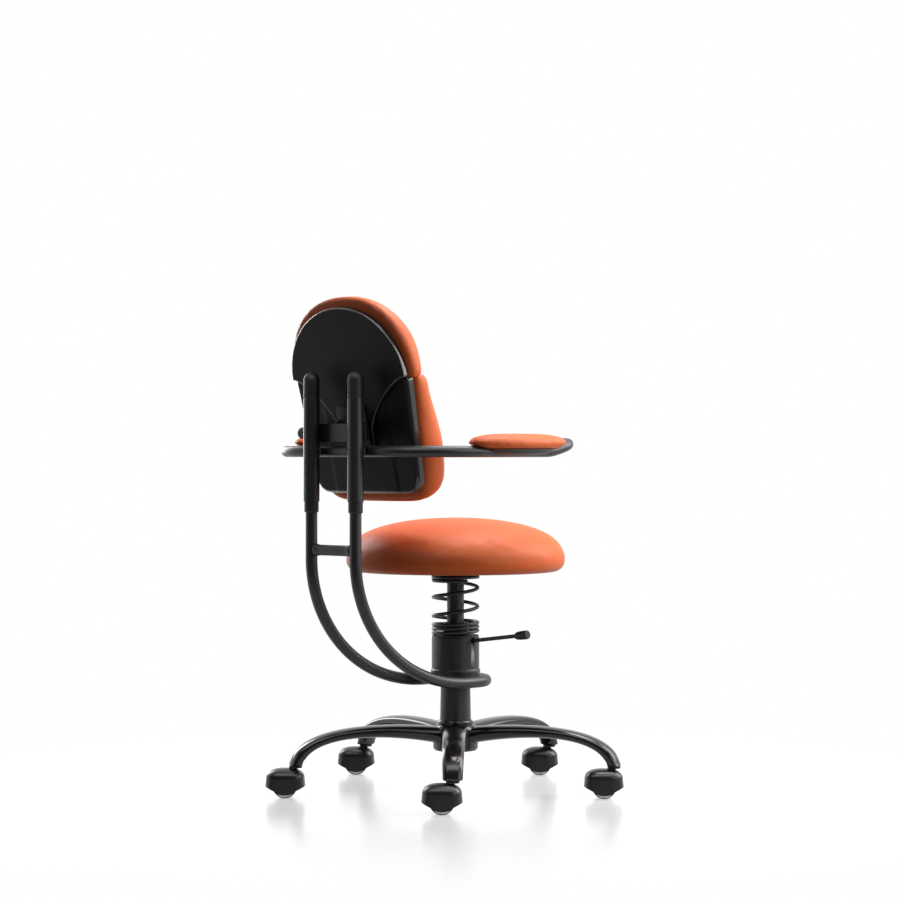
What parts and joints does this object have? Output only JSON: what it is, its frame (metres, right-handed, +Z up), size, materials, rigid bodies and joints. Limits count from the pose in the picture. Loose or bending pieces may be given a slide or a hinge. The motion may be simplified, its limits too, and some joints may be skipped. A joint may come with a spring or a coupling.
{
  "type": "office chair",
  "caption": "Office chair with a sprung round seat on a gas-lift column, star base with casters, bent-tube back hoop, cushioned back rest and padded arms.",
  "frame": {"origin": "middle of the chair's bounding box on the floor", "axes": "+Z up, the sitter faces -Y, the sitter's left is +X"},
  "size_m": [0.6704, 0.6786, 0.9394],
  "materials": {
    "painted_steel": "satin black paint",
    "gloss_black": "glossy black moulding",
    "black_shell": "satin black moulding",
    "grey_tread": "light grey wheel",
    "bright_steel": "ground steel",
    "guide_plastic": "pale slide plastic",
    "orange_leather": "orange leather-look cover over foam",
    "plywood": "raw plywood"
  },
  "bodies": {
    "base": {"star_base": "gloss_black", "column_tube": "painted_steel", "column_trim_ring": "gloss_black", "guide_bush": "guide_plastic", "thrust_bearing": "bright_steel"},
    "rod": {"piston_rod": "bright_steel", "rod_clip": "bright_steel"},
    "carrier": {"gas_cylinder": "bright_steel", "column_housing": "painted_steel", "post_guide": "painted_steel", "back_hoop": "painted_steel", "hoop_crossbar": "painted_steel", "seat_spring": "painted_steel"},
    "lever": {"height_lever": "painted_steel", "lever_knob": "gloss_black"},
    "valve": {"valve_button": "guide_plastic"},
    "seat": {"seat_post": "painted_steel", "post_clip": "bright_steel", "seat_plate": "painted_steel", "seat_board": "plywood", "seat_cushion": "orange_leather"},
    "arm_frame": {"upright_left": "painted_steel", "upright_right": "painted_steel", "upright_cap_left": "black_shell", "upright_cap_right": "black_shell", "upright_collar_left": "black_shell", "upright_collar_right": "black_shell", "arm_tube": "painted_steel", "arm_pad_base_left": "black_shell", "arm_pad_base_right": "black_shell", "arm_pad_left": "orange_leather", "arm_pad_right": "orange_leather", "back_carrier": "painted_steel", "pivot_axle": "bright_steel"},
    "hand_knob": {"back_knob": "black_shell"},
    "back_rest": {"back_bracket": "painted_steel", "back_upper_shell": "black_shell", "back_lower_shell": "black_shell", "back_upper_cushion": "orange_leather", "back_lower_cushion": "orange_leather"},
    "caster_1": {"caster_1_hood": "gloss_black", "caster_1_stem": "bright_steel"},
    "caster_1_left": {"caster_1_wheel_left": "grey_tread"},
    "caster_1_right": {"caster_1_wheel_right": "grey_tread"},
    "caster_2": {"caster_2_hood": "gloss_black", "caster_2_stem": "bright_steel"},
    "caster_2_left": {"caster_2_wheel_left": "grey_tread"},
    "caster_2_right": {"caster_2_wheel_right": "grey_tread"},
    "caster_3": {"caster_3_hood": "gloss_black", "caster_3_stem": "bright_steel"},
    "caster_3_left": {"caster_3_wheel_left": "grey_tread"},
    "caster_3_right": {"caster_3_wheel_right": "grey_tread"},
    "caster_4": {"caster_4_hood": "gloss_black", "caster_4_stem": "bright_steel"},
    "caster_4_left": {"caster_4_wheel_left": "grey_tread"},
    "caster_4_right": {"caster_4_wheel_right": "grey_tread"},
    "caster_5": {"caster_5_hood": "gloss_black", "caster_5_stem": "bright_steel"},
    "caster_5_left": {"caster_5_wheel_left": "grey_tread"},
    "caster_5_right": {"caster_5_wheel_right": "grey_tread"}
  },
  "joints": [
    {"name": "seat_swivel", "type": "hinge", "parent": "base", "child": "rod", "pos_m": [-0.0254, -0.00221, 0.0801], "axis": [0, 0, 1], "continuous": true},
    {"name": "height_lift", "type": "slide", "parent": "rod", "child": "carrier", "axis": [0, 0, 1], "range_m": [0, 0.11]},
    {"name": "height_lever_press", "type": "hinge", "parent": "carrier", "child": "lever", "pos_m": [-0.0564, -0.00221, 0.28982], "axis": [0, 1, 0], "range_deg": [0, 5], "stiffness_Nm_per_rad": 3, "springref_deg": -5.73},
    {"name": "valve_press", "type": "slide", "parent": "carrier", "child": "valve", "axis": [0, 0, 1], "range_m": [-0.0035, 0], "stiffness_N_per_m": 300},
    {"name": "seat_bounce", "type": "slide", "parent": "carrier", "child": "seat", "axis": [0, 0, 1], "range_m": [-0.022, 0], "stiffness_N_per_m": 15000, "springref_m": 0.01, "deforming": ["seat_spring"]},
    {"name": "back_height", "type": "slide", "parent": "carrier", "child": "arm_frame", "axis": [0, 0, 1], "range_m": [-0.03, 0.05]},
    {"name": "back_knob_turn", "type": "hinge", "parent": "arm_frame", "child": "hand_knob", "pos_m": [-0.0254, 0.29279, 0.6897], "axis": [1, 0, 0], "continuous": true},
    {"name": "back_tilt", "type": "hinge", "parent": "arm_frame", "child": "back_rest", "pos_m": [-0.0254, 0.29279, 0.6897], "axis": [1, 0, 0], "range_deg": [-6, 6]},
    {"name": "caster_1_swivel", "type": "hinge", "parent": "base", "child": "caster_1", "pos_m": [-0.23997, 0.23113, 0.056], "axis": [0, 0, 1], "continuous": true},
    {"name": "caster_1_left_roll", "type": "hinge", "parent": "caster_1", "child": "caster_1_left", "pos_m": [-0.22583, 0.24455, 0.023], "axis": [0.6884, -0.7254, 0], "continuous": true},
    {"name": "caster_1_right_roll", "type": "hinge", "parent": "caster_1", "child": "caster_1_right", "pos_m": [-0.22583, 0.24455, 0.023], "axis": [0.6884, -0.7254, 0], "continuous": true},
    {"name": "caster_2_swivel", "type": "hinge", "parent": "base", "child": "caster_2", "pos_m": [-0.31363, -0.13418, 0.056], "axis": [0, 0, 1], "continuous": true},
    {"name": "caster_2_left_roll", "type": "hinge", "parent": "caster_2", "child": "caster_2_left", "pos_m": [-0.29949, -0.12075, 0.023], "axis": [0.6884, -0.7254, 0], "continuous": true},
    {"name": "caster_2_right_roll", "type": "hinge", "parent": "caster_2", "child": "caster_2_right", "pos_m": [-0.29949, -0.12075, 0.023], "axis": [0.6884, -0.7254, 0], "continuous": true},
    {"name": "caster_3_swivel", "type": "hinge", "parent": "base", "child": "caster_3", "pos_m": [0.01103, -0.31711, 0.056], "axis": [0, 0, 1], "continuous": true},
    {"name": "caster_3_left_roll", "type": "hinge", "parent": "caster_3", "child": "caster_3_left", "pos_m": [0.02518, -0.30369, 0.023], "axis": [0.6884, -0.7254, 0], "continuous": true},
    {"name": "caster_3_right_roll", "type": "hinge", "parent": "caster_3", "child": "caster_3_right", "pos_m": [0.02518, -0.30369, 0.023], "axis": [0.6884, -0.7254, 0], "continuous": true},
    {"name": "caster_4_swivel", "type": "hinge", "parent": "base", "child": "caster_4", "pos_m": [0.28534, -0.06487, 0.056], "axis": [0, 0, 1], "continuous": true},
    {"name": "caster_4_left_roll", "type": "hinge", "parent": "caster_4", "child": "caster_4_left", "pos_m": [0.29949, -0.05145, 0.023], "axis": [0.6884, -0.7254, 0], "continuous": true},
    {"name": "caster_4_right_roll", "type": "hinge", "parent": "caster_4", "child": "caster_4_right", "pos_m": [0.29949, -0.05145, 0.023], "axis": [0.6884, -0.7254, 0], "continuous": true},
    {"name": "caster_5_swivel", "type": "hinge", "parent": "base", "child": "caster_5", "pos_m": [0.13021, 0.27396, 0.056], "axis": [0, 0, 1], "continuous": true},
    {"name": "caster_5_left_roll", "type": "hinge", "parent": "caster_5", "child": "caster_5_left", "pos_m": [0.14436, 0.28738, 0.023], "axis": [0.6884, -0.7254, 0], "continuous": true},
    {"name": "caster_5_right_roll", "type": "hinge", "parent": "caster_5", "child": "caster_5_right", "pos_m": [0.14436, 0.28738, 0.023], "axis": [0.6884, -0.7254, 0], "continuous": true}
  ],
  "couplings": [
    {"joint": "valve_press", "follows": "height_lever_press", "m_per_rad": -0.031}
  ]
}
